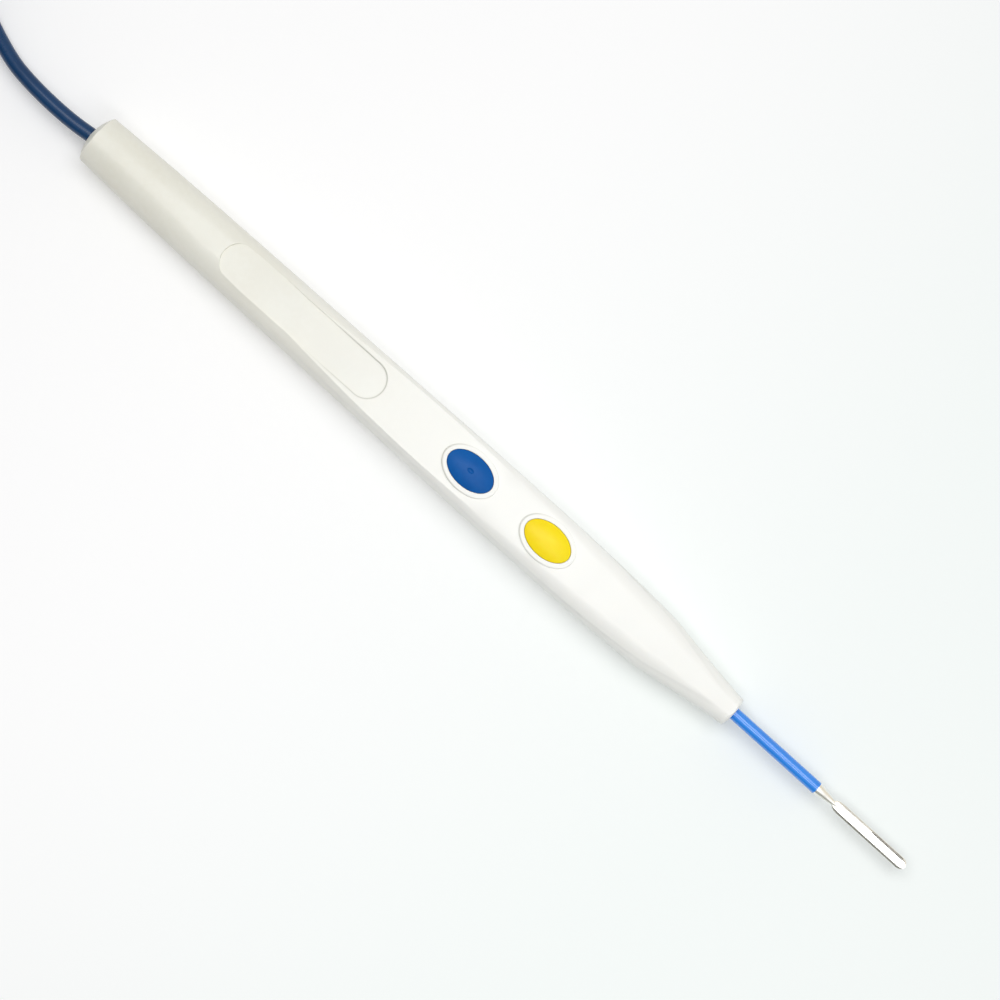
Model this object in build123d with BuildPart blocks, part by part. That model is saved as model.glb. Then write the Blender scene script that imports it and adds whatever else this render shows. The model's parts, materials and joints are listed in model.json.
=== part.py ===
from build123d import *
import math
import os

# Overall sizes, in millimetres. Stations along the handle are measured from its rear end.
handle_length = 166.0
exposed_electrode = 44.4
overall_length = handle_length + exposed_electrode
rear_x = -overall_length / 2
nose_x = rear_x + handle_length
axis_z = 5.3

# Handle walls
wall = 1.25
rear_wall = 4.0
nose_wall = 7.0
cavity_front = handle_length - nose_wall
coag_station = handle_length - 68.5
panel_gap = 22.6
panel_length = 40.4
panel_centre = coag_station - panel_gap - panel_length / 2
corner_share = 0.35
rear_dome_radius = 9.5
rear_trim_radius = 5.7
rear_edge_radius = 1.3
nose_trim_radius = 3.45
nose_edge_radius = 0.9
trim_flat = 1.2
trim_clear = 12.0
parting_line = axis_z
belt_z = 4.8
belly_sink = 0.3

# Sections of the handle: half widths across, heights above the table
rear_section = dict(
    half_width=5.1, top=10.4, flat_half=1.5, edge_half=4.95, edge_z=6.8,
    belly_half=1.9, heel_z=3.7, bottom=-belly_sink, bulge=0.11,
)
label_section = dict(
    half_width=6.3, top=10.7, flat_half=3.9, edge_half=5.75, edge_z=8.6,
    belly_half=3.2, heel_z=3.0, bottom=-belly_sink, bulge=0.1,
)
grip_section = dict(
    half_width=6.85, top=11.0, flat_half=5.2, edge_half=6.3, edge_z=9.4,
    belly_half=4.0, heel_z=2.6, bottom=-belly_sink, bulge=0.08,
)
fore_section = dict(
    half_width=6.5, top=10.6, flat_half=2.8, edge_half=6.15, edge_z=8.0,
    belly_half=3.4, heel_z=3.0, bottom=-belly_sink, bulge=0.13,
)
knee_section = dict(
    half_width=6.1, top=10.2, flat_half=2.2, edge_half=5.8, edge_z=7.5,
    belly_half=2.8, heel_z=3.3, bottom=0.3, bulge=0.13,
)
cone_section = dict(
    half_width=4.45, top=9.3, flat_half=1.7, edge_half=4.25, edge_z=6.9,
    belly_half=1.9, heel_z=3.8, bottom=1.3, bulge=0.13,
)
nose_section = dict(
    half_width=3.15, top=8.45, flat_half=1.2, edge_half=3.0, edge_z=6.3,
    belly_half=1.2, heel_z=4.3, bottom=2.15, bulge=0.13,
)
grip_station = handle_length - 66.0
fore_station = handle_length - 28.0
knee_station = handle_length - 20.0
cone_station = handle_length - 10.0
barrel_sections = [
    (0.0, rear_section),
    (panel_centre, label_section),
    (grip_station, grip_section),
    (fore_station, fore_section),
    (knee_station, knee_section),
]
cone_sections = [
    (knee_station, knee_section),
    (cone_station, cone_section),
    (handle_length, nose_section),
]
grip_top = grip_section["top"]
cutter_size = 60.0

# Seam between the two shells
lip_height = 0.8
lip_inset = 0.65
seam_clearance = 0.06
lip_rear = 6.0
lip_front = fore_station - 2.0

# Panel pressed into the top
panel_width = 7.7
panel_depth = 0.4

# Buttons, switches and board
button_spacing = 19.8
button_length = 10.4
button_width = 6.4
button_clearance = 0.1
button_crown = 0.9
button_proud = 0.05
flange_margin = 0.8
flange_thickness = 0.8
stop_clearance = 0.08
plunger_radius = 1.2
plunger_clearance = 0.05
dimple_sphere = 1.2
dimple_depth = 0.28
rim_margin = 1.1
rim_height = 0.4
rim_edge_radius = 0.18
board_top = parting_line
board_thickness = 1.0
board_width = 8.4
board_length = 48.0
board_gap = 9.15
board_clearance = 0.05
pad_thickness = 0.1
pad_margin = 0.3
pad_ring = 1.2
pad_gap = 0.8
dome_radius = 3.0
dome_height = 0.9
dome_sheet = 0.15

# Electrode and what grips it
shaft_radius = 1.18
shaft_inserted = 25.6
sleeve_radius = 1.3
sleeve_exposed = 21.7
hub_across_flats = 3.4
hub_length = 6.0
hub_recess = 0.3
hub_clearance = 0.06
hub_chamfer = 0.3
shaft_end_chamfer = 0.3
neck_radius = 0.62
neck_length = 3.8
ridge_length = 6.7
ridge_radius = 0.2
blade_root = 4.6
blade_width = 2.6
blade_thickness = 0.5
socket_wall = 0.6
socket_length = 19.5
socket_clearance = 0.03
socket_fit = 0.05
slit_width = 0.35
slit_length = 8.0
collar_radius = 2.35
collar_length = 1.2
collar_lap = 0.3
strap_thickness = 0.4
strap_width = 2.4
strap_overlap = 3.0

# Cord, its clamp and its cores
cord_radius = 1.5
cord_exit_clearance = 0.12
cord_inside = 11.0
clamp_radius = 2.7
clamp_play = 0.1
clamp_fit = 0.03
core_radius = 0.5
core_ring = 0.6
core_spacing = 2.2
core_fan_start = 34.0
core_fan_gap = 7.0
core_bend = 8.0
core_on_board = 2.4
solder_length = 1.5
solder_width = 1.5
solder_height = 1.2
solder_edge_radius = 0.375

# Webs and bosses inside the shells
web_thickness = 1.2
cord_web = 8.6
web_reach = 8.6
between_keys = 9.5
collar_web = handle_length - 24.8
shaft_web = handle_length - 15.0
boss_radius = 1.3
rear_boss = (28.0, 3.3)
boss_gap = 21.0
middle_boss_y = 4.0
front_boss = (handle_length - 32.5, 4.3)
stud_radius = 0.65
stud_length = 2.2
stud_clearance = 0.05
cut_through = 1.0

# Put-away cord: a hank of flat layers, held by a band, behind the handle
hank_front_x = -141.0
hank_run = 54.0
hank_half_width = 20.1
hank_waist = 16.3
hank_base = 0.5
hank_height = 12.3
hank_edge_radius = 1.4
tie_edge_radius = 1.4
tie_width = 12.0
tie_thickness = 0.35
tie_slack = 0.3

# Three-pin plug at the cord's far end
plug_front_x = -263.0
plug_length = 30.0
plug_height = 12.0
plug_wall = 1.6
plug_mouth_half = 7.0
plug_neck_half = 9.0
plug_neck = 4.0
plug_shoulder = 15.0
plug_half_width = 20.5
plug_corner = 3.0
plug_edge_radius = 1.5
plug_pin_wall = 8.0
boot_length = 16.0
boot_tip_radius = 2.4
boot_root_radius = 4.3
boot_neck_radius = 3.0
boot_flange_radius = 4.2
boot_flange = 1.4
boot_fit = 0.05
contact_radius = 2.0
contact_length = 20.0
contact_root_radius = 1.7
contact_root = 0.5
contact_spacing = (12.7, 19.05)
contact_collar_radius = 3.0
contact_collar = 1.6
contact_tail_radius = 1.5
contact_tail = 4.0
contact_fit = 0.04
contact_tip_radius = 1.0
lead_straight = 2.5


def at(station):
    return rear_x + station


def handle_outline(station, size, inset):
    # One cross-section of the handle, drawn across its axis
    shift = corner_share * inset
    side = size["half_width"] - inset
    top = size["top"] - inset
    flat_half = size["flat_half"] - shift
    edge = (size["edge_half"] - inset, size["edge_z"] - shift)
    heel = (size["edge_half"] - inset, size["heel_z"] + shift)
    belly_half = size["belly_half"] - shift
    bottom = size["bottom"] + inset
    shoulder_sag = size["bulge"] * math.dist((flat_half, top), edge)
    heel_sag = size["bulge"] * math.dist(heel, (belly_half, bottom))
    with BuildSketch(Plane.YZ.offset(at(station))) as outline:
        with BuildLine():
            SagittaArc((flat_half, top), edge, shoulder_sag)
            Line(edge, (side, belt_z))
            Line((side, belt_z), heel)
            SagittaArc(heel, (belly_half, bottom), heel_sag)
            mirror(about=Plane.YZ)
            Line((-flat_half, top), (flat_half, top))
            Line((-belly_half, bottom), (belly_half, bottom))
        make_face()
    return outline.sketch


def handle_loft(inset):
    with BuildPart() as barrel:
        for station, size in barrel_sections:
            add(handle_outline(station, size, inset))
        loft()
    with BuildPart() as cone:
        for station, size in cone_sections:
            add(handle_outline(station, size, inset))
        loft()
    with BuildPart() as body:
        add(barrel.part)
        add(cone.part)
    return body.part


def slab_between(start, end):
    with BuildPart() as slab:
        with Locations((at(start), 0, 0)):
            Box(end - start, cutter_size, cutter_size, align=(Align.MIN, Align.CENTER, Align.CENTER))
    return slab.part


def save(body, name):
    body.part.label = name
    export_step(body.part, "parts/" + name + ".step")


def web_slabs(positions):
    return [slab_between(start, start + web_thickness) for start in positions]


def cap_sag(sphere, distance):
    # How far a sphere falls away, at a distance from its highest point
    return sphere - math.sqrt(sphere**2 - distance**2)


def cap_height(radius, height, distance):
    # Height of a spherical cap above its rim, at a distance from its middle
    return height - cap_sag((radius**2 + height**2) / (2 * height), distance)


os.makedirs("parts", exist_ok=True)

# Outside of the whole handle: the loft, trimmed by a turned shape with a domed rear and a round nose
dome_sag = cap_sag(rear_dome_radius, rear_trim_radius)
with BuildPart() as handle_outside:
    add(handle_loft(0.0))
    with BuildSketch(Plane((0, 0, axis_z), x_dir=(1, 0, 0), z_dir=(0, -1, 0))) as turned:
        with BuildLine():
            ThreePointArc(
                (rear_x, 0),
                (rear_x + cap_sag(rear_dome_radius, rear_trim_radius / 2), rear_trim_radius / 2),
                (rear_x + dome_sag, rear_trim_radius),
            )
            Polyline(
                (rear_x + dome_sag, rear_trim_radius),
                (rear_x + dome_sag + trim_flat, rear_trim_radius),
                (rear_x + trim_clear, trim_clear),
                (nose_x - trim_clear, trim_clear),
                (nose_x - trim_flat, nose_trim_radius),
                (nose_x, nose_trim_radius),
                (nose_x, 0),
                (rear_x, 0),
            )
        make_face()
        rear_corner = turned.vertices().sort_by_distance((rear_x + dome_sag, rear_trim_radius))[0]
        fillet(rear_corner, rear_edge_radius)
        nose_corner = turned.vertices().sort_by_distance((nose_x, nose_trim_radius))[0]
        fillet(nose_corner, nose_edge_radius)
    revolve(axis=Axis((0, 0, axis_z), (1, 0, 0)), mode=Mode.INTERSECT)
    split(bisect_by=Plane.XY, keep=Keep.TOP)

# Places along the handle that follow from the nose: socket, board, webs and bosses
socket_outer = shaft_radius + socket_clearance + socket_wall
socket_front = handle_length - hub_length - hub_recess - socket_fit
socket_rear = socket_front - socket_length
board_start = socket_rear - board_gap - board_length
cut_station = coag_station + button_spacing
board_webs = [coag_station - web_reach, coag_station + between_keys, cut_station + web_reach - web_thickness]
collar_start = collar_web + web_thickness + socket_fit
socket_webs = [collar_web, collar_start + collar_length + socket_fit, shaft_web]
boss_places = [rear_boss, (board_start - boss_gap, middle_boss_y), front_boss]

# Space inside, left full where a web or a boss stands
boss_points = [(at(station), side * y) for station, y in boss_places for side in (-1, 1)]
with BuildPart() as inside:
    add(handle_loft(wall))
    add(slab_between(rear_wall, cavity_front), mode=Mode.INTERSECT)
    add(web_slabs([cord_web] + board_webs + socket_webs), mode=Mode.SUBTRACT)
    with Locations(*boss_points):
        Cylinder(boss_radius, cutter_size, mode=Mode.SUBTRACT)


def seam_ring(outer_inset, inner_inset, height, slack):
    # Band that runs along the walls just above the parting line
    with BuildPart() as ring:
        add(handle_loft(outer_inset))
        add(handle_loft(inner_inset), mode=Mode.SUBTRACT)
        with Locations((at(lip_rear - slack), 0, parting_line)):
            Box(
                lip_front - lip_rear + 2 * slack,
                cutter_size,
                height + slack,
                align=(Align.MIN, Align.CENTER, Align.MIN),
                mode=Mode.INTERSECT,
            )
    return ring.part


# Ways through both shells: the cord, the board, the socket and the keyed hub
with BuildPart() as passages:
    with BuildSketch(Plane.YZ.offset(rear_x - cut_through)):
        with Locations((0, axis_z)):
            Circle(cord_radius + cord_exit_clearance)
    extrude(amount=cut_through + cord_web + web_thickness)
    with Locations((at(board_start - board_clearance), 0, board_top - board_thickness)):
        Box(
            board_length + 2 * board_clearance,
            board_width + 2 * board_clearance,
            board_thickness + board_clearance,
            align=(Align.MIN, Align.CENTER, Align.MIN),
        )
    with BuildSketch(Plane.YZ.offset(at(socket_rear))):
        with Locations((0, axis_z)):
            Circle(socket_outer + socket_fit)
    extrude(amount=socket_length + socket_fit)
    with BuildSketch(Plane.YZ.offset(nose_x - hub_length - hub_recess)):
        with Locations((0, axis_z)):
            RegularPolygon(hub_across_flats / 2 + hub_clearance, 6, major_radius=False)
    extrude(amount=hub_length + hub_recess + cut_through)

# Upper shell
panel_tilt = math.degrees(math.atan2(grip_top - rear_section["top"], grip_station))
panel_z = rear_section["top"] + (grip_top - rear_section["top"]) * panel_centre / grip_station
panel_plane = Plane((at(panel_centre), 0, panel_z - panel_depth)).rotated((0, -panel_tilt, 0))
button_points = [(at(coag_station), 0), (at(cut_station), 0)]
aperture = (button_length / 2 + button_clearance, button_width / 2 + button_clearance)
rim = (button_length / 2 + rim_margin, button_width / 2 + rim_margin)
rim_top = grip_top + rim_height
ceiling = grip_top - wall

with BuildPart() as button_rims:
    with BuildSketch(Plane.XY.offset(ceiling + wall / 2)):
        with Locations(*button_points):
            Ellipse(*rim)
    extrude(amount=wall / 2 + rim_height)
    fillet(button_rims.faces().filter_by(Axis.Z).group_by(Axis.Z)[-1].edges(), rim_edge_radius)

with BuildPart() as upper_shell:
    add(handle_outside.part)
    split(bisect_by=Plane.XY.offset(parting_line), keep=Keep.TOP)
    add(inside.part, mode=Mode.SUBTRACT)
    add(seam_ring(lip_inset - seam_clearance, wall, lip_height, seam_clearance), mode=Mode.SUBTRACT)
    with BuildSketch(panel_plane):
        SlotOverall(panel_length, panel_width)
    extrude(amount=wall, mode=Mode.SUBTRACT)
    add(button_rims.part)
    with BuildSketch(Plane.XY.offset(ceiling - flange_thickness)):
        with Locations(*button_points):
            Ellipse(*aperture)
    extrude(amount=wall + flange_thickness + rim_height, mode=Mode.SUBTRACT)
    add(passages.part, mode=Mode.SUBTRACT)
    with BuildSketch(Plane.XY.offset(parting_line - stud_length)):
        with Locations(*boss_points):
            Circle(stud_radius)
    extrude(amount=stud_length + wall)
save(upper_shell, "upper_shell")

# Lower shell, with the tongue that stands in the upper shell's rebate
with BuildPart() as lower_shell:
    add(handle_outside.part)
    split(bisect_by=Plane.XY.offset(parting_line), keep=Keep.BOTTOM)
    add(inside.part, mode=Mode.SUBTRACT)
    add(seam_ring(lip_inset, wall - seam_clearance, lip_height, 0.0))
    add(passages.part, mode=Mode.SUBTRACT)
    with BuildSketch(Plane.XY.offset(parting_line)):
        with Locations(*boss_points):
            Circle(stud_radius + stud_clearance)
    extrude(amount=-stud_length - stud_clearance, mode=Mode.SUBTRACT)
save(lower_shell, "lower_shell")

# Buttons: crowned oval, flange under the shell and plunger above the dome
dome_base = board_top + pad_thickness
plunger_end = dome_base + dome_height + plunger_clearance
flange_top = ceiling - stop_clearance
crown_edge = rim_top + button_proud
crown_top = crown_edge + button_crown
button_names = [("coag_button", coag_station), ("cut_button", cut_station)]


def button(station, dimple):
    half = button_length / 2
    with BuildPart() as crown:
        with BuildSketch(Plane.XZ):
            with BuildLine():
                Polyline((0, crown_top), (0, flange_top), (half, flange_top), (half, crown_edge))
                ThreePointArc(
                    (half, crown_edge),
                    (half / 2, crown_edge + cap_height(half, button_crown, half / 2)),
                    (0, crown_top),
                )
            make_face()
        revolve(axis=Axis.Z)
        if dimple:
            with Locations((0, 0, crown_top + dimple_sphere - dimple_depth)):
                Sphere(dimple_sphere, mode=Mode.SUBTRACT)
    with BuildPart() as key:
        add(scale(crown.part, by=(1, button_width / button_length, 1), mode=Mode.PRIVATE))
        with BuildSketch(Plane.XY.offset(flange_top)):
            Ellipse(half + flange_margin, button_width / 2 + flange_margin)
        extrude(amount=-flange_thickness)
        with BuildSketch(Plane.XY.offset(flange_top)):
            Circle(plunger_radius)
        extrude(amount=plunger_end - flange_top)
    with BuildPart() as placed:
        with Locations((at(station), 0, 0)):
            add(key.part)
    return placed


for name, station in button_names:
    save(button(station, name == "coag_button"), name)

# Snap domes: thin caps that stand on the pads
def cap_profile(radius, height):
    middle = radius / 2
    ThreePointArc(
        (radius, dome_base),
        (middle, dome_base + cap_height(radius, height, middle)),
        (0, dome_base + height),
    )
    Polyline((0, dome_base + height), (0, dome_base), (radius, dome_base))


for name, station in (("coag_dome", coag_station), ("cut_dome", cut_station)):
    with BuildPart() as snap_dome:
        with BuildSketch(Plane.XZ):
            with BuildLine():
                cap_profile(dome_radius, dome_height)
            make_face()
        revolve(axis=Axis.Z)
        with BuildSketch(Plane.XZ):
            with BuildLine():
                cap_profile(dome_radius - dome_sheet, dome_height - dome_sheet)
            make_face()
        revolve(axis=Axis.Z, mode=Mode.SUBTRACT)
    with BuildPart() as placed_dome:
        with Locations((at(station), 0, 0)):
            add(snap_dome.part)
    save(placed_dome, name)

# Board and pads
with BuildPart() as circuit_board:
    with Locations((at(board_start), 0, board_top)):
        Box(board_length, board_width, board_thickness, align=(Align.MIN, Align.CENTER, Align.MAX))
save(circuit_board, "circuit_board")

strap_start = board_start + board_length - strap_overlap
joint_points = [
    (at(board_start + core_on_board + solder_length / 2), lane) for lane in (-core_spacing, 0.0, core_spacing)
]
with BuildPart() as contact_pads:
    with BuildSketch(Plane.XY.offset(board_top)):
        with Locations(*button_points):
            Circle(dome_radius + pad_margin)
            Circle(dome_radius + pad_margin - pad_ring, mode=Mode.SUBTRACT)
            Circle(dome_radius + pad_margin - pad_ring - pad_gap)
        with Locations(*joint_points):
            Rectangle(solder_length + 2 * pad_margin, solder_width + 2 * pad_margin)
        with Locations((at(strap_start + strap_overlap / 2), 0)):
            Rectangle(strap_overlap, strap_width + 2 * pad_margin)
    extrude(amount=pad_thickness)
save(contact_pads, "contact_pads")

# Brass socket: slit tube with a collar held between two webs
with BuildPart() as electrode_socket:
    with BuildSketch(Plane.YZ.offset(at(socket_rear))):
        with Locations((0, axis_z)):
            Circle(socket_outer)
            Circle(shaft_radius + socket_clearance, mode=Mode.SUBTRACT)
    extrude(amount=socket_length)
    with BuildSketch(Plane.YZ.offset(at(collar_start))):
        with Locations((0, axis_z)):
            Circle(collar_radius)
            Circle(socket_outer - collar_lap, mode=Mode.SUBTRACT)
    extrude(amount=collar_length)
    with Locations((at(socket_front), 0, axis_z)):
        Box(2 * slit_length, slit_width, 4 * socket_outer, mode=Mode.SUBTRACT)
        Box(2 * slit_length, 4 * socket_outer, slit_width, mode=Mode.SUBTRACT)
save(electrode_socket, "electrode_socket")

# Brass strap from the board to a cap on the socket's rear end
strap_z = board_top + pad_thickness
with BuildPart() as socket_strap:
    with BuildSketch(Plane.YZ.offset(at(socket_rear))):
        with Locations((0, axis_z)):
            Circle(socket_outer)
    extrude(amount=-strap_thickness)
    with Locations((at(strap_start), 0, strap_z)):
        Box(
            socket_rear - strap_start - strap_thickness / 2,
            strap_width,
            strap_thickness,
            align=(Align.MIN, Align.CENTER, Align.MIN),
        )
save(socket_strap, "socket_strap")

# Electrode: round shaft drawn down to a neck, whose ridge dies out on the flat blade
bare_x = nose_x + sleeve_exposed
tip_x = nose_x + exposed_electrode
drawn = [(0.0, shaft_radius), (neck_length, neck_radius), (ridge_length, ridge_radius)]
blade_length = exposed_electrode - sleeve_exposed - blade_root
with BuildPart() as blade_electrode:
    with BuildSketch(Plane.YZ.offset(nose_x - shaft_inserted)):
        with Locations((0, axis_z)):
            Circle(shaft_radius)
    extrude(amount=shaft_inserted + sleeve_exposed)
    chamfer(blade_electrode.faces().sort_by(Axis.X)[0].edges(), shaft_end_chamfer)
    for rear_end, front_end in zip(drawn, drawn[1:]):
        for distance, radius in (rear_end, front_end):
            with BuildSketch(Plane.YZ.offset(bare_x + distance)):
                with Locations((0, axis_z)):
                    Circle(radius)
        loft()
    with BuildSketch(Plane.XY.offset(axis_z - blade_thickness / 2)):
        with Locations((tip_x - blade_length / 2, 0)):
            SlotOverall(blade_length, blade_width)
    extrude(amount=blade_thickness)
save(blade_electrode, "blade_electrode")

# Insulating sleeve, with the hexagonal hub that keys it in the nose
with BuildPart() as electrode_sleeve:
    with BuildSketch(Plane.YZ.offset(nose_x - hub_recess - hub_length)):
        with Locations((0, axis_z)):
            RegularPolygon(hub_across_flats / 2, 6, major_radius=False)
    extrude(amount=hub_length)
    chamfer(electrode_sleeve.faces().sort_by(Axis.X)[0].edges(), hub_chamfer)
    with BuildSketch(Plane.YZ.offset(nose_x - hub_recess)):
        with Locations((0, axis_z)):
            Circle(sleeve_radius)
    extrude(amount=hub_recess + sleeve_exposed)
    with BuildSketch(Plane.YZ.offset(nose_x - hub_recess - hub_length)):
        with Locations((0, axis_z)):
            Circle(shaft_radius)
    extrude(amount=hub_recess + hub_length + sleeve_exposed, mode=Mode.SUBTRACT)
save(electrode_sleeve, "electrode_sleeve")

# Collar crimped on the cord, between the rear wall and the first web
clamp_start = rear_wall + clamp_play
with BuildPart() as cable_clamp:
    with BuildSketch(Plane.YZ.offset(at(clamp_start))):
        with Locations((0, axis_z)):
            Circle(clamp_radius)
            Circle(cord_radius + clamp_fit, mode=Mode.SUBTRACT)
    extrude(amount=cord_web - rear_wall - 2 * clamp_play)
save(cable_clamp, "cable_clamp")

# Cores of the cord, from the end of its jacket to the board
core_names = ["active", "cut", "coag"]
core_angles = [270, 150, 30]
lead_angles = [150, 270, 30]
core_lanes = dict(zip(core_names, (0.0, -core_spacing, core_spacing)))
wire_z = board_top + pad_thickness + core_radius


def core_offset(angle):
    return core_ring * math.cos(math.radians(angle)), core_ring * math.sin(math.radians(angle))


def core_tube(points, bend):
    with BuildPart() as core:
        with BuildLine():
            path = FilletPolyline(*points, radius=bend)
        with BuildSketch(Plane(origin=path @ 0, z_dir=path % 0)):
            Circle(core_radius)
        sweep()
    return core


for name, angle in zip(core_names, core_angles):
    across, up = core_offset(angle)
    points = [
        (at(cord_inside), across, axis_z + up),
        (at(core_fan_start), across, axis_z + up),
        (at(board_start - core_fan_gap), core_lanes[name], wire_z),
        (at(board_start + core_on_board), core_lanes[name], wire_z),
    ]
    save(core_tube(points, core_bend), name + "_wire")

with BuildPart() as solder_joints:
    with BuildSketch(Plane.XY.offset(board_top + pad_thickness)):
        with Locations(*joint_points):
            Rectangle(solder_length, solder_width)
    extrude(amount=solder_height)
    fillet(solder_joints.edges().filter_by(Axis.Z), solder_edge_radius)
save(solder_joints, "solder_joints")


# Cord: straight runs joined by arcs as large as the runs allow
def arc_radii(points):
    radii = []
    for before, here, after in zip(points, points[1:], points[2:]):
        run_in = Vector(*here) - Vector(*before)
        run_out = Vector(*after) - Vector(*here)
        half_turn = math.radians(run_in.get_angle(run_out)) / 2
        radii.append(0.45 * min(run_in.length, run_out.length) / math.tan(half_turn))
    return radii


def cord_tube(points, name):
    radii = arc_radii(points)
    with BuildPart() as tube:
        with BuildLine():
            path = FilletPolyline(*points, radius=radii)
        with BuildSketch(Plane(origin=path @ 0, z_dir=path % 0)):
            Circle(cord_radius)
        sweep()
    expected = math.pi * cord_radius**2 * path.length
    print(name, "radii", [round(r, 1) for r in radii], "length", round(path.length, 1))
    print(name, "volume", round(tube.part.volume, 1), "section times length", round(expected, 1))
    save(tube, name)


plug_z = plug_height / 2
cord_route = [
    (at(cord_inside), 0.0, axis_z),
    (-109.5, 0.0, axis_z),
    (-125.5, 0.3, 4.0),
    (-137.0, 3.9, 1.6),
    (-147.5, 8.6, 2.0),
]
tail_route = [
    (-230.7, 11.5, 5.5),
    (-235.6, 5.6, 5.8),
    (-240.6, 1.9, 6.0),
    (plug_front_x + boot_length, 0.0, plug_z),
]
cord_tube(cord_route, "cord")
cord_tube(tail_route, "cord_tail")

hank_x = hank_front_x - hank_half_width - hank_run / 2
with BuildPart() as cord_hank:
    with BuildSketch(Plane((hank_x, 0, hank_base))):
        with BuildLine():
            for side in (-1, 1):
                ThreePointArc(
                    (-hank_run / 2, side * hank_half_width),
                    (0, side * hank_waist),
                    (hank_run / 2, side * hank_half_width),
                )
                ThreePointArc(
                    (side * hank_run / 2, -hank_half_width),
                    (side * (hank_run / 2 + hank_half_width), 0),
                    (side * hank_run / 2, hank_half_width),
                )
        make_face()
    extrude(amount=hank_height)
    fillet(cord_hank.faces().filter_by(Axis.Z).edges(), hank_edge_radius)
save(cord_hank, "cord_hank")

tie_across = 2 * (hank_waist + tie_slack + tie_thickness)
tie_height = hank_height + 2 * hank_base
with BuildPart() as cord_tie:
    with BuildSketch(Plane.YZ.offset(hank_x - tie_width / 2)):
        with Locations((0, hank_base + hank_height / 2)):
            RectangleRounded(tie_across, tie_height, tie_edge_radius)
            offset(amount=-tie_thickness, mode=Mode.SUBTRACT)
    extrude(amount=tie_width)
save(cord_tie, "cord_tie")

# Plug: two shells that hold three pins and the boot
plug_face_x = plug_front_x - plug_length
contact_total = sum(contact_spacing)
contact_ys = (-contact_total / 2, -contact_total / 2 + contact_spacing[0], contact_total / 2)
contact_lanes = dict(zip(core_names, contact_ys))
collar_face = plug_length - plug_pin_wall / 2
tail_end = plug_length - plug_pin_wall - contact_tail


def plug_sketch(plane, inset):
    with BuildSketch(plane) as outline:
        with BuildLine():
            right = [
                (0, plug_mouth_half),
                (-plug_neck, plug_neck_half),
                (-plug_shoulder, plug_half_width),
                (-plug_length, plug_half_width),
            ]
            left = [(x, -y) for x, y in reversed(right)]
            Polyline(*right, *left, close=True)
        make_face()
        fillet(outline.vertices(), plug_corner)
        if inset > 0:
            offset(amount=-inset)
    return outline.sketch


def contact_shape(name, slack):
    # Pin, collar and solder tail, turned as one piece and pointing along -X
    stretches = [
        (tail_end, plug_length - plug_pin_wall, contact_tail_radius),
        (plug_length - plug_pin_wall, plug_length + contact_root, contact_root_radius),
        (collar_face - contact_collar, collar_face, contact_collar_radius),
        (plug_length + contact_root, plug_length + contact_length, contact_radius),
    ]
    with BuildPart() as contact:
        for start, end, radius in stretches:
            with BuildSketch(Plane.YZ.offset(plug_front_x - start + slack)):
                with Locations((contact_lanes[name], plug_z)):
                    Circle(radius + slack)
            extrude(amount=-(end - start) - 2 * slack)
    return contact


contacts = {name: contact_shape(name, 0.0) for name in core_names}
for name, contact in contacts.items():
    with BuildPart() as finished:
        add(contact.part)
        fillet(finished.faces().sort_by(Axis.X)[0].edges(), contact_tip_radius)
    save(finished, name + "_pin")

with BuildPart() as plug_boot:
    stretches = [
        (-boot_length, 0.0, boot_tip_radius, boot_root_radius),
        (0.0, plug_wall + boot_fit, boot_neck_radius, boot_neck_radius),
        (plug_wall + boot_fit, plug_wall + boot_fit + boot_flange, boot_flange_radius, boot_flange_radius),
    ]
    for start, end, start_radius, end_radius in stretches:
        for distance, radius in ((start, start_radius), (end, end_radius)):
            with BuildSketch(Plane.YZ.offset(plug_front_x - distance)):
                with Locations((0, plug_z)):
                    Circle(radius)
        loft()
save(plug_boot, "plug_boot")

with BuildPart() as plug_inside:
    add(plug_sketch(Plane((plug_front_x, 0, plug_wall)), plug_wall))
    extrude(amount=plug_height - 2 * plug_wall)
    with Locations((plug_front_x - plug_length + plug_pin_wall, 0, 0)):
        Box(plug_length, cutter_size, cutter_size, align=(Align.MIN, Align.CENTER, Align.CENTER), mode=Mode.INTERSECT)
    with BuildSketch(Plane.YZ.offset(plug_front_x + boot_fit)):
        with Locations((0, plug_z)):
            Circle(boot_neck_radius + boot_fit)
    extrude(amount=-plug_wall - 2 * boot_fit)
    for name in core_names:
        add(contact_shape(name, contact_fit).part)

with BuildPart() as plug_body:
    add(plug_sketch(Plane((plug_front_x, 0, 0)), 0.0))
    extrude(amount=plug_height)
    fillet(plug_body.faces().filter_by(Axis.Z).edges(), plug_edge_radius)
    add(plug_inside.part, mode=Mode.SUBTRACT)

for name, keep in (("plug_upper_shell", Keep.TOP), ("plug_lower_shell", Keep.BOTTOM)):
    with BuildPart() as plug_half:
        add(plug_body.part)
        split(bisect_by=Plane.XY.offset(plug_z), keep=keep)
    save(plug_half, name)

# Cores inside the plug, from the boot to the pins
lead_start = plug_wall + boot_fit + boot_flange
for name, angle in zip(core_names, lead_angles):
    across, up = core_offset(angle)
    points = [
        (plug_front_x - lead_start, across, plug_z + up),
        (plug_front_x - lead_start - lead_straight, across, plug_z + up),
        (plug_front_x - tail_end + lead_straight, contact_lanes[name], plug_z),
        (plug_front_x - tail_end, contact_lanes[name], plug_z),
    ]
    save(core_tube(points, lead_straight / 2), name + "_lead")
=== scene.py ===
import bpy, json, math
from mathutils import Matrix, Vector


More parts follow.
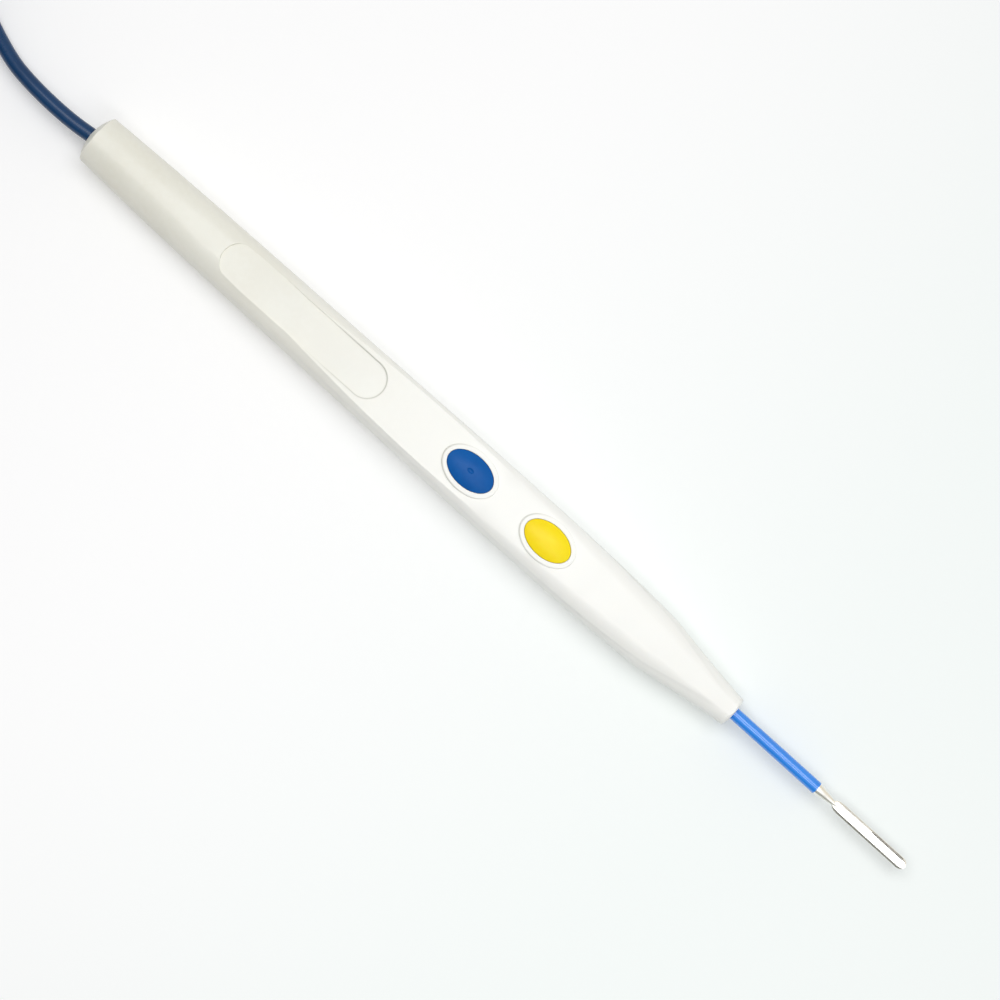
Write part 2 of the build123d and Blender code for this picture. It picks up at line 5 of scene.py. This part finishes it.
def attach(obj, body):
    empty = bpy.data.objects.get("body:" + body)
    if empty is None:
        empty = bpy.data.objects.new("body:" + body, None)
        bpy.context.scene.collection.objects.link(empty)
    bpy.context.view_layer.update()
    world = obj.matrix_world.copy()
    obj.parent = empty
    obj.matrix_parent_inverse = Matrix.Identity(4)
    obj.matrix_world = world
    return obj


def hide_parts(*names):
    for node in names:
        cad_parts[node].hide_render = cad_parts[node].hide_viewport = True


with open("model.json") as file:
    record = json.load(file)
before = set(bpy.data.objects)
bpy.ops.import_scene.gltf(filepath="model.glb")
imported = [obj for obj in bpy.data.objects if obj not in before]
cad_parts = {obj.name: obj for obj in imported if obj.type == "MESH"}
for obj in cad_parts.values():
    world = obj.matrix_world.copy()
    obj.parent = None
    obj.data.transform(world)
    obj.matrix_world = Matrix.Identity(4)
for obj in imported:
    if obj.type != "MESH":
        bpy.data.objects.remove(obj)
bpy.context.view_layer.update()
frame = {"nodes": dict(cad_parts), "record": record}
nodes = frame["nodes"]
mm = 0.001
print("frame loaded:", len(nodes), "nodes")

# Camera: almost straight above, the pencil running from the upper left to the lower right
cameraSetup = {
    "target": (0.15, 0.3, 5.3),     # mm, what stands at the middle of the picture
    "across": 192.3,                # mm shown from side to side at the target
    "lens": 100.0,
    "turn": 42.07,                  # degrees that the pencil runs down the picture
    "lean": 5.5,                    # degrees off the vertical, towards -Y
}


def addCamera(s):
    lean, turn = math.radians(s["lean"]), math.radians(s["turn"])
    back = Vector((0, -math.sin(lean), math.cos(lean)))
    side = Vector((0, math.cos(lean), math.sin(lean)))
    along = Vector((1, 0, 0))
    right = math.cos(turn) * along + math.sin(turn) * side
    up = -math.sin(turn) * along + math.cos(turn) * side
    data = bpy.data.cameras.new("camera")
    data.lens = s["lens"]
    data.sensor_width = 36.0
    data.clip_start, data.clip_end = 0.01, 10.0
    camera = bpy.data.objects.new("camera", data)
    bpy.context.scene.collection.objects.link(camera)
    distance = s["across"] * mm * s["lens"] / data.sensor_width
    turned = Matrix((right, up, back)).transposed().to_4x4()
    turned.translation = Vector(s["target"]) * mm + distance * back
    camera.matrix_world = turned
    bpy.context.scene.camera = camera


addCamera(cameraSetup)
print("camera placed")

# Cord: out of the rear end, along the table into the put-away hank, and on to the plug
cordSetup = {
    "diameter": 3.0, "length": 3.0,
    "route": [
        (-94.2, 0.0, 5.3), (-104.0, -0.1, 5.3), (-108.5, -0.75, 5.2), (-114.5, -0.9, 4.9),
        (-121.0, -0.55, 4.3), (-127.0, 0.35, 3.4), (-137.0, 4.1, 1.7), (-147.0, 9.2, 2.0),
    ],
    "tail": [(-230.7, 11.5, 5.5), (-235.6, 5.6, 5.8), (-240.6, 1.9, 6.0), (-247.0, 0.0, 6.0)],
    "frontBend": -162.6, "rearBend": -213.6,     # middles of the hank's round ends, x
    "lanes": [17.0, 13.9, 10.8],                 # half widths of the turns side by side
    "outerLane": 20.1,                           # the last turns, laid down the outside
    "waist": 5.2,                                # how far the band draws the runs in
    "floorZ": 2.0, "pitch": 3.05, "layers": 4, "outerTurns": 3,
    "perTurn": 18, "firstShift": 16, "firstRise": 14, "earlier": 4,    # points a turn, and where turns change over
}


def hankPoint(s, place, half, z):
    # One point of a turn, counted from the front end's left, going round from above against the clock
    front, rear = s["frontBend"], s["rearBend"]
    middle, run = (front + rear) / 2, (front - rear) / 2
    corner = half * math.tan(math.radians(22.5))
    if place == 0:
        return (front + corner, half, z)
    if place <= 5 or 10 <= place <= 14:
        step = (3 - place) if place <= 5 else (place - 12)
        along = step * run * 0.42
        drawn = s["waist"] * (1 - (along / run) ** 2)
        side = half - drawn
        return (middle + along, side if place <= 5 else -side, z)
    if place <= 9:
        return [(rear - corner, half, z), (rear - half, corner, z),
                (rear - half, -corner, z), (rear - corner, -half, z)][place - 6]
    return [(front + corner, -half, z), (front + half, -corner, z), (front + half, corner, z)][place - 15]


def hankPoints(s):
    # Layers of three turns, wound in and out by turns; each layer moves over a little earlier
    points = []
    lanes, pitch = s["lanes"], s["pitch"]
    perTurn, last = s["perTurn"], len(lanes) - 1
    for layer in range(s["layers"]):
        order = lanes if layer % 2 == 0 else lanes[::-1]
        shiftAt = s["firstShift"] - s["earlier"] * layer
        riseAt = s["firstRise"] - s["earlier"] * layer
        for turn, half in enumerate(order):
            z = s["floorZ"] + pitch * layer
            onTop = layer == s["layers"] - 1
            for place in range(perTurn):
                if turn < last or onTop:
                    moved = min(max((place - shiftAt) / 2, 0), 1)
                    nextHalf = order[turn + 1] if turn < last else s["outerLane"]
                    points.append(hankPoint(s, place, half + (nextHalf - half) * moved, z))
                else:
                    moved = min(max((place - riseAt) / 2, 0), 1)
                    points.append(hankPoint(s, place, half, z + pitch * moved))
    top = s["floorZ"] + pitch * (s["layers"] - 1)
    for count in range(perTurn * (s["outerTurns"] - 1) + 7):
        place = count % perTurn
        z = top - pitch * count / perTurn
        points.append(hankPoint(s, place, s["outerLane"], z))
    return points


def addCord(s):
    points = s["route"] + hankPoints(s) + s["tail"]
    data = bpy.data.curves.new("cordLine", "CURVE")
    data.dimensions = "3D"
    spline = data.splines.new("NURBS")
    spline.points.add(len(points) - 1)
    for point, place in zip(spline.points, points):
        point.co = (place[0] * mm, place[1] * mm, place[2] * mm, 1)
        point.radius = s["diameter"] / 2 * mm    # in metres, as Blender adds it to the curve's box
    spline.order_u = 3
    spline.use_endpoint_u = True
    spline.resolution_u = 6
    data.bevel_depth = 1.0
    data.bevel_resolution = 6
    data.use_fill_caps = True
    cord = bpy.data.objects.new("cordLead", data)
    bpy.context.scene.collection.objects.link(cord)
    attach(cord, "handle")
    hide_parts("cord", "cord_hank", "cord_tail")
    return cord


cordLead = addCord(cordSetup)
print("cord laid")


# Electrode: a drawn shaft whose neck runs out on a flat blade, which is turned a little on its axis
electrodeSetup = {
    "axisZ": 5.3, "sides": 40,
    "shaft": [
        (35.2, 0.88, 0.88), (35.5, 1.18, 1.18), (82.6, 1.18, 1.18), (83.3, 1.12, 1.12), (84.4, 0.92, 0.88),
        (85.6, 0.72, 0.64), (86.6, 0.56, 0.5), (87.6, 0.38, 0.38), (88.6, 0.2, 0.28), (89.2, 0.06, 0.2),
    ],
    "blade": [
        (86.6, 0.3, 0.42), (86.75, 0.62, 0.42), (87.1, 0.9, 0.42), (87.7, 1.1, 0.42), (88.5, 1.2, 0.42),
        (103.9, 1.2, 0.42), (104.5, 1.08, 0.42), (104.9, 0.84, 0.42), (105.12, 0.52, 0.42), (105.19, 0.2, 0.42),
    ],
    "flatAt": 0.25, "roll": -9.0, "flatArea": 0.00001,
}


def editAll():
    bpy.ops.object.mode_set(mode="EDIT")
    bpy.ops.mesh.select_all(action="SELECT")


def sweptPiece(name, stations, s):
    # A closed body drawn through oval sections (x, half width, half height)
    bpy.ops.object.select_all(action="DESELECT")
    x, across, high = stations[0]
    centre = (x * mm, 0, s["axisZ"] * mm)
    bpy.ops.mesh.primitive_circle_add(
        vertices=s["sides"], radius=mm, fill_type="NGON", location=centre, rotation=(0, math.pi / 2, 0))
    piece = bpy.context.object
    piece.name = name
    bpy.ops.object.transform_apply(location=True, rotation=True, scale=True)
    editAll()
    bpy.ops.transform.resize(value=(1, across, high), center_override=centre)
    for nextX, nextAcross, nextHigh in stations[1:]:
        bpy.ops.mesh.extrude_region_move(TRANSFORM_OT_translate={"value": ((nextX - x) * mm, 0, 0)})
        centre = (nextX * mm, 0, s["axisZ"] * mm)
        bpy.ops.transform.resize(value=(1, nextAcross / across, nextHigh / high), center_override=centre)
        x, across, high = nextX, nextAcross, nextHigh
    bpy.ops.mesh.select_all(action="SELECT")
    bpy.ops.mesh.normals_make_consistent(inside=False)
    bpy.ops.object.mode_set(mode="OBJECT")
    return piece


def joined(name, parts, angle):
    bpy.ops.object.select_all(action="DESELECT")
    for part in parts:
        part.select_set(True)
    bpy.context.view_layer.objects.active = parts[0]
    if len(parts) > 1:
        bpy.ops.object.join()
    bpy.ops.object.shade_smooth_by_angle(angle=math.radians(angle))
    parts[0].name = name
    return parts[0]


def addElectrode(s):
    shaft = sweptPiece("electrodeShaft", s["shaft"], s)
    blade = sweptPiece("electrodeBlade", s["blade"], s)
    for side in (1, -1):
        editAll()
        bpy.ops.mesh.bisect(
            plane_co=(0, 0, (s["axisZ"] + side * s["flatAt"]) * mm), plane_no=(0, 0, side),
            use_fill=True, clear_outer=True)
        bpy.ops.object.mode_set(mode="OBJECT")
    editAll()
    bpy.ops.transform.rotate(
        value=math.radians(s["roll"]), orient_axis="X", center_override=(0, 0, s["axisZ"] * mm))
    bpy.ops.mesh.normals_make_consistent(inside=False)
    bpy.ops.object.mode_set(mode="OBJECT")
    piece = joined("bladeBody", [shaft, blade], 14)
    for face in piece.data.polygons:
        if face.area > s["flatArea"]:
            face.use_smooth = False
    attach(piece, "electrode")
    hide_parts("blade_electrode")
    return piece


# Band: a paper strip wound once round the hank, its end stuck down on top
bandSetup = {
    "place": (-188.0, 0.0, 6.65), "size": (12.0, 33.9, 13.3), "thickness": 0.35, "edge": 2.2,
    "lapFrom": -12.0, "lapTo": 4.0, "lapRise": 0.36,
}


def pick(item, kind, wanted):
    # Into edit mode with only the wanted faces or edges selected
    bpy.ops.object.mode_set(mode="EDIT")
    bpy.ops.mesh.select_mode(type=kind)
    bpy.ops.mesh.select_all(action="DESELECT")
    bpy.ops.object.mode_set(mode="OBJECT")
    for part in item.data.polygons if kind == "FACE" else item.data.edges:
        part.select = wanted(part)
    bpy.ops.object.mode_set(mode="EDIT")


def addBand(s):
    bpy.ops.object.select_all(action="DESELECT")
    bpy.ops.mesh.primitive_cube_add(size=1, location=[value * mm for value in s["place"]])
    band = bpy.context.object
    band.scale = [value * mm for value in s["size"]]
    bpy.ops.object.transform_apply(location=True, rotation=True, scale=True)
    pick(band, "FACE", lambda face: abs(face.normal.x) > 0.9)
    bpy.ops.mesh.delete(type="ONLY_FACE")
    bpy.ops.object.mode_set(mode="OBJECT")
    places = [vertex.co.x for vertex in band.data.vertices]
    pick(band, "EDGE", lambda edge: abs(places[edge.vertices[0]] - places[edge.vertices[1]]) > mm)
    bpy.ops.mesh.bevel(offset=s["edge"] * mm, segments=8, affect="EDGES")
    bpy.ops.object.mode_set(mode="OBJECT")
    x, y, z = s["place"]
    top = z + s["size"][2] / 2
    bpy.ops.mesh.primitive_grid_add(
        x_subdivisions=2, y_subdivisions=24, size=1,
        location=(x * mm, (s["lapFrom"] + s["lapTo"]) / 2 * mm, (top + s["lapRise"]) * mm))
    lap = bpy.context.object
    lap.scale = ((s["size"][0] - 0.1) * mm, (s["lapTo"] - s["lapFrom"]) * mm, 1)
    bpy.ops.object.transform_apply(location=True, rotation=True, scale=True)
    piece = joined("bandWrap", [band, lap], 40)
    sheet = piece.modifiers.new("sheet", "SOLIDIFY")
    sheet.thickness, sheet.offset = s["thickness"] * mm, -1
    bpy.ops.object.modifier_apply(modifier="sheet")
    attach(piece, "handle")
    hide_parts("cord_tie")
    return piece


electrodePiece = addElectrode(electrodeSetup)
bandPiece = addBand(bandSetup)
print("electrode and band made")


# Shader wiring: a socket that adds its own nodes
class Wire:
    def __init__(self, tree, socket=None):
        self.tree, self.socket = tree, socket

    def node(self, kind, settings, values, out=0):
        made = self.tree.nodes.new(kind)
        for name, value in settings.items():
            if name == "stops":
                ramp = made.color_ramp
                while len(ramp.elements) < len(value):
                    ramp.elements.new(0.5)
                for element, (place, colour) in zip(ramp.elements, value):
                    element.position, element.color = place, colour
            else:
                setattr(made, name, value)
        for name, value in values.items():
            if isinstance(value, Wire):
                self.tree.links.new(value.socket, made.inputs[name])
            else:
                made.inputs[name].default_value = value
        return Wire(self.tree, made.outputs[out])

    def maths(self, operation, other=0.0):
        return self.node("ShaderNodeMath", {"operation": operation}, {0: self, 1: other})

    def __add__(self, other):
        return self.maths("ADD", other)

    def __sub__(self, other):
        return self.maths("SUBTRACT", other)

    def __rsub__(self, other):
        return self.node("ShaderNodeMath", {"operation": "SUBTRACT"}, {0: other, 1: self})

    def __mul__(self, other):
        return self.maths("MULTIPLY", other)

    __radd__, __rmul__ = __add__, __mul__    # the order makes no difference to these two

    def output(self, which):
        # Another socket of the same node
        return Wire(self.tree, self.socket.node.outputs[which])

    def split(self):
        # The three parts of a vector
        first = self.node("ShaderNodeSeparateXYZ", {}, {0: self})
        return first, first.output(1), first.output(2)

    def blend(self, first, second):
        # Colour between two, by this value
        settings = {"data_type": "RGBA", "blend_type": "MIX", "clamp_factor": True}
        return self.node("ShaderNodeMix", settings, {0: self, 6: first, 7: second}, 2)

    def ramp(self, low, high):
        # 0 below low, 1 above high, smooth between
        settings = {"interpolation_type": "SMOOTHSTEP", "clamp": True}
        return self.node("ShaderNodeMapRange", settings, {0: self, 1: low, 2: high, 3: 0.0, 4: 1.0})


def tone(red, green, blue):
    # A colour as it shows on a screen, 0 to 255, for a shader
    def linear(value):
        value /= 255
        return value / 12.92 if value <= 0.04045 else ((value + 0.055) / 1.055) ** 2.4
    return (linear(red), linear(green), linear(blue), 1.0)


def newFinish(name):
    material = bpy.data.materials.new(name)
    material.use_nodes = True
    tree = material.node_tree
    shader = tree.nodes["Principled BSDF"]
    start = Wire(tree)
    place = start.node("ShaderNodeTexCoord", {}, {}, "Object")
    return material, shader, place


def noise(place, scale, detail=3.0, rough=0.5, stretch=(1, 1, 1)):
    fitted = place.node("ShaderNodeMapping", {}, {"Vector": place, "Scale": stretch})
    values = {"Vector": fitted, "Scale": scale, "Detail": detail, "Roughness": rough}
    return fitted.node("ShaderNodeTexNoise", {}, values)


def bump(shader, height, distance, strength):
    made = height.node("ShaderNodeBump", {}, {"Height": height, "Distance": distance, "Strength": strength})
    shader.id_data.links.new(made.socket, shader.inputs["Normal"])


def setShader(shader, values):
    for name, value in values.items():
        if isinstance(value, Wire):
            shader.id_data.links.new(value.socket, shader.inputs[name])
        else:
            shader.inputs[name].default_value = value


# Painted shade: dark lines round the panel's front end and along the rear of each button's rim, where their walls turn
# away from the light; a bump step also marks the panel's edge
def paintedEdgeShade(place, s):
    along, across, height = place.split()
    centre, halfRun, radius = s["panel"]
    beyond = ((along - centre).maths("ABSOLUTE") - halfRun).maths("MAXIMUM")
    reach = (beyond * beyond + across * across).maths("SQRT") - radius
    front = along.ramp(centre, centre + halfRun)
    step = reach.ramp(-s["lineWidth"], s["lineWidth"]) * front
    edgeShade = (1.0 - reach.maths("ABSOLUTE").ramp(0.0, s["lineWidth"])) * front
    # Painted shade on each rim's outer wall, darkest on the rear and -Y side, which faces away from the light
    for x, halfLong, halfWide in s["rims"]:
        ahead, wide = (along - x) * (1 / halfLong), across * (1 / halfWide)
        far = (ahead * ahead + wide * wide).maths("SQRT") - 1.0
        rimShade = 1.0 - far.maths("ABSOLUTE").ramp(0.0, s["lineWidth"] / halfWide)
        edgeShade = edgeShade + rimShade * (0.0 - ahead - wide * 0.6).ramp(-0.5, 0.8)    # strongest to the rear and to -Y
    above = height.ramp(s["above"], s["above"] + s["fadeIn"])
    return edgeShade * above, step * above


# Moulded plastic: a colour that drifts a little, a fine eroded grain, and gloss that varies with handling
plasticBase = {
    "driftScale": 60.0, "mottleScale": 900.0, "grainScale": 2600.0, "toothScale": 9000.0, "handledScale": 140.0,
    "grain": 0.000012, "strength": 0.5, "roughSpread": 0.08, "specular": 0.5, "coat": 0.0, "coatRoughness": 0.1,
    "subsurface": 0.0, "subsurfaceRadius": (1.0, 0.9, 0.8), "subsurfaceScale": 0.0012,
}


def mouldedPlastic(name, changes):
    s = {**plasticBase, **changes}
    material, shader, place = newFinish(name)
    drift = noise(place, s["driftScale"], 2.0)
    mottle = noise(place, s["mottleScale"])
    colour = (drift * 0.7 + mottle * 0.3).ramp(0.32, 0.68).blend(tone(*s["colour"]), tone(*s["shade"]))
    # Painted light: the colour turns paler towards the front (+X), standing in for the stronger light there
    if "paintedFrontLight" in s:
        colour = place.split()[0].ramp(*s["paintedLightFrom"]).blend(colour, tone(*s["paintedFrontLight"]))
    grain = noise(place, s["grainScale"], 2.0)
    raised = grain + noise(place, s["toothScale"], 1.0) * 0.4
    if "panel" in s:
        # Painted shade: the base colour is darkened along the panel's front end and the rims' rear
        edgeShade, step = paintedEdgeShade(place, s)
        colour = (edgeShade * s["edgeShadeDepth"]).blend(colour, tone(*s["edgeShadeColour"]))
        raised = raised + step * s["stepHeight"]
    handled = noise(place, s["handledScale"], 4.0, 0.6).ramp(0.35, 0.7)
    setShader(shader, {
        "Base Color": colour,
        "Roughness": s["roughness"] + (handled - 0.5) * s["roughSpread"] + (grain - 0.5) * 0.05,
        "Specular IOR Level": s["specular"],
        "Coat Weight": s["coat"],
        "Coat Roughness": s["coatRoughness"],
        "Subsurface Weight": s["subsurface"],
        "Subsurface Radius": s["subsurfaceRadius"],
        "Subsurface Scale": s["subsurfaceScale"],
    })
    bump(shader, raised, s["grain"], s["strength"])
    return material


# Drawn or ground metal: fine lines along X, cloudy gloss
metalBase = {
    "lineScale": 1800.0, "cloudScale": 260.0, "stretch": (0.03, 1, 1), "spread": 0.16, "cloudSpread": 0.06,
    "grain": 0.000006, "strength": 0.5,
}


def workedMetal(name, changes):
    s = {**metalBase, **changes}
    material, shader, place = newFinish(name)
    lines = noise(place, s["lineScale"], 4.0, 0.7, s["stretch"])
    cloud = noise(place, s["cloudScale"]).ramp(0.3, 0.7)
    setShader(shader, {
        "Base Color": (cloud * 0.6 + lines * 0.4).blend(tone(*s["colour"]), tone(*s["shade"])),
        "Metallic": 1.0,
        "Roughness": s["roughness"] + (lines - 0.5) * s["spread"] + (cloud - 0.5) * s["cloudSpread"],
    })
    bump(shader, lines, s["grain"], s["strength"])
    return material


# Board laminate: green mask over a faint glass weave
def boardLaminate(name, s):
    material, shader, place = newFinish(name)
    along, across = place.split()[:2]
    weave = (along * s["threads"]).maths("SINE") * (across * s["threads"]).maths("SINE")
    colour = (weave * 0.5 + 0.5).blend(tone(*s["colour"]), tone(*s["shade"]))
    gloss = s["roughness"] + noise(place, s["glossScale"]) * 0.1
    setShader(shader, {"Base Color": colour, "Roughness": gloss, "Coat Weight": s["coat"]})
    bump(shader, weave, s["grain"], s["strength"])
    return material


# Paper band: fibres and a faint tooth
def paperBand(name, s):
    material, shader, place = newFinish(name)
    fibres = noise(place, s["fibreScale"], 5.0, 0.7, s["stretch"])
    setShader(shader, {
        "Base Color": fibres.ramp(0.3, 0.7).blend(tone(*s["colour"]), tone(*s["shade"])),
        "Roughness": s["roughness"] + (fibres - 0.5) * 0.2,
    })
    bump(shader, fibres, s["grain"], s["strength"])
    return material


finishes = {
    "handle_white": mouldedPlastic("handleIvory", {
        "colour": (239, 238, 227), "shade": (234, 232, 219), "roughness": 0.42, "grain": 0.00001, "subsurface": 0.08,
        # Painted light: the handle turns paler towards the front, from x -0.09 to 0.01 m
        "paintedFrontLight": (252, 252, 247), "paintedLightFrom": (-0.09, 0.01),
        # Painted shade lines at the panel's front end and along the rear of the button rims
        "panel": (-0.0505, 0.01635, 0.00385), "rims": [(-0.0077, 0.0062, 0.0042), (0.0121, 0.0062, 0.0042)],
        "lineWidth": 0.00022, "edgeShadeDepth": 0.55, "edgeShadeColour": (186, 186, 174), "stepHeight": 24.0,
        "above": 0.0085, "fadeIn": 0.0005}),
    "coag_blue": mouldedPlastic("buttonBlue", {
        "colour": (1, 92, 170), "shade": (1, 84, 160), "roughness": 0.38, "specular": 0.18, "grain": 0.000012}),
    "cut_yellow": mouldedPlastic("buttonYellow", {
        "colour": (255, 232, 16), "shade": (255, 222, 8), "roughness": 0.4, "specular": 0.3, "grain": 0.000012}),
    "sleeve_blue": mouldedPlastic("sleeveBlue", {
        "colour": (12, 138, 240), "shade": (8, 128, 232), "roughness": 0.24, "grain": 0.000002,
        "coat": 1.0, "coatRoughness": 0.06}),
    "blade_steel": workedMetal("bladeSteel", {
        "colour": (246, 245, 240), "shade": (238, 236, 230), "roughness": 0.36, "grain": 0.0000003, "spread": 0.03}),
    "spring_steel": workedMetal("domeSteel", {
        "colour": (205, 207, 208), "shade": (180, 182, 184), "roughness": 0.28, "stretch": (1, 1, 1)}),
    "contact_brass": workedMetal("socketBrass", {"colour": (212, 176, 96), "shade": (186, 148, 72), "roughness": 0.3}),
    "board_green": boardLaminate("boardGreen", {
        "colour": (22, 92, 52), "shade": (14, 74, 40), "roughness": 0.34, "threads": 9000.0, "glossScale": 700.0,
        "coat": 0.3, "grain": 0.00001, "strength": 0.4}),
    "pad_copper": workedMetal("padCopper", {
        "colour": (226, 186, 92), "shade": (208, 160, 76), "roughness": 0.34, "stretch": (1, 1, 1)}),
    "solder": workedMetal("solderTin", {
        "colour": (196, 198, 200), "shade": (166, 168, 172), "roughness": 0.3, "stretch": (1, 1, 1)}),
    "clamp_nylon": mouldedPlastic("clampNylon", {
        "colour": (226, 224, 214), "shade": (216, 213, 200), "roughness": 0.5}),
    "core_red": mouldedPlastic("coreRed", {"colour": (190, 30, 32), "shade": (172, 24, 26), "roughness": 0.38}),
    "core_yellow": mouldedPlastic("coreYellow", {"colour": (236, 204, 48), "shade": (222, 188, 40), "roughness": 0.38}),
    "core_blue": mouldedPlastic("coreBlue", {"colour": (34, 84, 168), "shade": (26, 70, 150), "roughness": 0.38}),
    "cord_navy": mouldedPlastic("cordNavy", {
        "colour": (6, 60, 104), "shade": (4, 52, 94), "roughness": 0.26, "grain": 0.000006, "specular": 0.35}),
    "tie_paper": paperBand("tiePaper", {
        "colour": (244, 243, 238), "shade": (228, 226, 218), "roughness": 0.85, "fibreScale": 1500.0,
        "stretch": (1, 0.35, 0.35), "grain": 0.00004, "strength": 0.6}),
    "plug_white": mouldedPlastic("plugWhite", {
        "colour": (240, 239, 232), "shade": (234, 232, 222), "roughness": 0.38, "grain": 0.00001}),
    "boot_navy": mouldedPlastic("bootNavy", {"colour": (30, 58, 98), "shade": (24, 50, 86), "roughness": 0.45}),
    "pin_nickel": workedMetal("pinNickel", {
        "colour": (214, 210, 200), "shade": (192, 188, 178), "roughness": 0.2, "stretch": (1, 0.05, 0.05)}),
}

slotOf = {entry["node"]: entry["material_slot"] for entry in frame["record"]["subparts"]}


# CAD nodes: merged and smoothed by modifiers, so that no facet shows, and given their finish
dressSetup = {"mergeWithin": 0.000002, "sharpFrom": 28.0}    # m, degrees


def dressNode(name, item, s):
    item.data.materials.clear()
    item.data.materials.append(finishes[slotOf[name]])
    for face in item.data.polygons:
        face.use_smooth = True
        face.material_index = 0
    weld = item.modifiers.new("weld", "WELD")
    weld.merge_threshold = s["mergeWithin"]
    crease = item.modifiers.new("crease", "EDGE_SPLIT")
    crease.split_angle = math.radians(s["sharpFrom"])
    crease.use_edge_sharp = False


for name, item in nodes.items():
    dressNode(name, item, dressSetup)
cordLead.data.materials.append(finishes["cord_navy"])
for piece, slot in ((electrodePiece, "blade_steel"), (bandPiece, "tie_paper")):
    piece.data.materials.clear()
    piece.data.materials.append(finishes[slot])
print("nodes dressed")

([nodes[name] for name in (
        "plug_upper_shell", "plug_lower_shell", "plug_boot", "active_pin", "cut_pin", "coag_pin")] + [bandPiece])

# Stage: white floor that keeps the soft shadows on both sides, lights, and a pale world
stageSetup = {
    "floorSize": 6.0, "rearColour": (246, 246, 246), "frontColour": (236, 241, 239), "change": (-0.06, 0.08),
    "cameraGlow": 0.13,
}
lightSetup = {
    "keySoftbox": {"place": (-0.09, 0.10, 0.68), "aim": (-0.03, 0.0, 0.0), "size": (0.7, 0.36), "power": 2.22},
    "frontStrip": {"place": (0.09, -0.08, 0.29), "aim": (0.075, 0.0, 0.0), "size": (0.22, 0.06), "power": 0.155},
}
worldSetup = {
    "strength": 0.5, "diffuseNear": (0.72, 0.72, 0.72, 1),
    "top": (1.0, 1.0, 1.0, 1), "nearSide": (0.24, 0.25, 0.22, 1), "farSide": (0.80, 0.72, 0.58, 1),
}


def addStage(s):
    bpy.ops.mesh.primitive_plane_add(size=s["floorSize"], location=(0, 0, -0.0001))
    floor = bpy.context.object
    floor.name = "floor"
    material = bpy.data.materials.new("floorWhite")
    material.use_nodes = True
    tree = material.node_tree
    tree.nodes.clear()
    start = Wire(tree)
    seen = start.node("ShaderNodeLightPath", {}, {}, "Is Camera Ray")
    mirrored, passed = seen.output("Is Glossy Ray"), seen.output("Is Transmission Ray")
    share = seen.maths("MAXIMUM", mirrored.maths("MAXIMUM", passed)) * s["cameraGlow"]
    place = start.node("ShaderNodeTexCoord", {}, {}, "Object")
    colour = place.split()[0].ramp(*s["change"]).blend(tone(*s["rearColour"]), tone(*s["frontColour"]))
    plain = start.node("ShaderNodeBsdfDiffuse", {}, {"Color": colour})
    glow = start.node("ShaderNodeEmission", {}, {"Color": (1, 1, 1, 1), "Strength": share})
    both = start.node("ShaderNodeAddShader", {}, {0: plain, 1: glow})
    out = tree.nodes.new("ShaderNodeOutputMaterial")
    tree.links.new(both.socket, out.inputs["Surface"])
    floor.data.materials.append(material)


def addLight(name, s):
    data = bpy.data.lights.new(name, "AREA")
    data.shape = "RECTANGLE"
    data.size, data.size_y = s["size"]
    data.energy = s["power"]
    light = bpy.data.objects.new(name, data)
    bpy.context.scene.collection.objects.link(light)
    light.visible_camera = False
    light.location = s["place"]
    light.rotation_euler = (Vector(s["aim"]) - Vector(s["place"])).to_track_quat("-Z", "Y").to_euler()


def addWorld(s):
    # White to the camera, plain light on the object, and in reflections a room that darkens towards its sides
    world = bpy.data.worlds.new("paleWorld")
    bpy.context.scene.world = world
    world.use_nodes = True
    tree = world.node_tree
    start = Wire(tree)
    direction = start.node("ShaderNodeTexCoord", {}, {}, "Generated")
    across, height = direction.split()[1:]
    far = (across * 0.5 + 0.5).ramp(0.35, 0.65)
    room = height.ramp(0.45, 0.97).blend(far.blend(s["nearSide"], s["farSide"]), s["top"])
    glossy = start.node("ShaderNodeLightPath", {}, {}, "Is Glossy Ray")
    seen = glossy.output("Is Camera Ray")
    background = tree.nodes["Background"]
    colour = glossy.blend(seen.blend(far.blend(s["diffuseNear"], s["top"]), s["top"]), room)
    strength = s["strength"] + glossy.maths("MAXIMUM", seen) * (1 - s["strength"])
    tree.links.new(colour.socket, background.inputs["Color"])
    tree.links.new(strength.socket, background.inputs["Strength"])


addStage(stageSetup)
for name, setup in lightSetup.items():
    addLight(name, setup)
addWorld(worldSetup)
bpy.context.scene.view_settings.view_transform = "Standard"
print("stage and lights set")

bpy.context.view_layer.update()
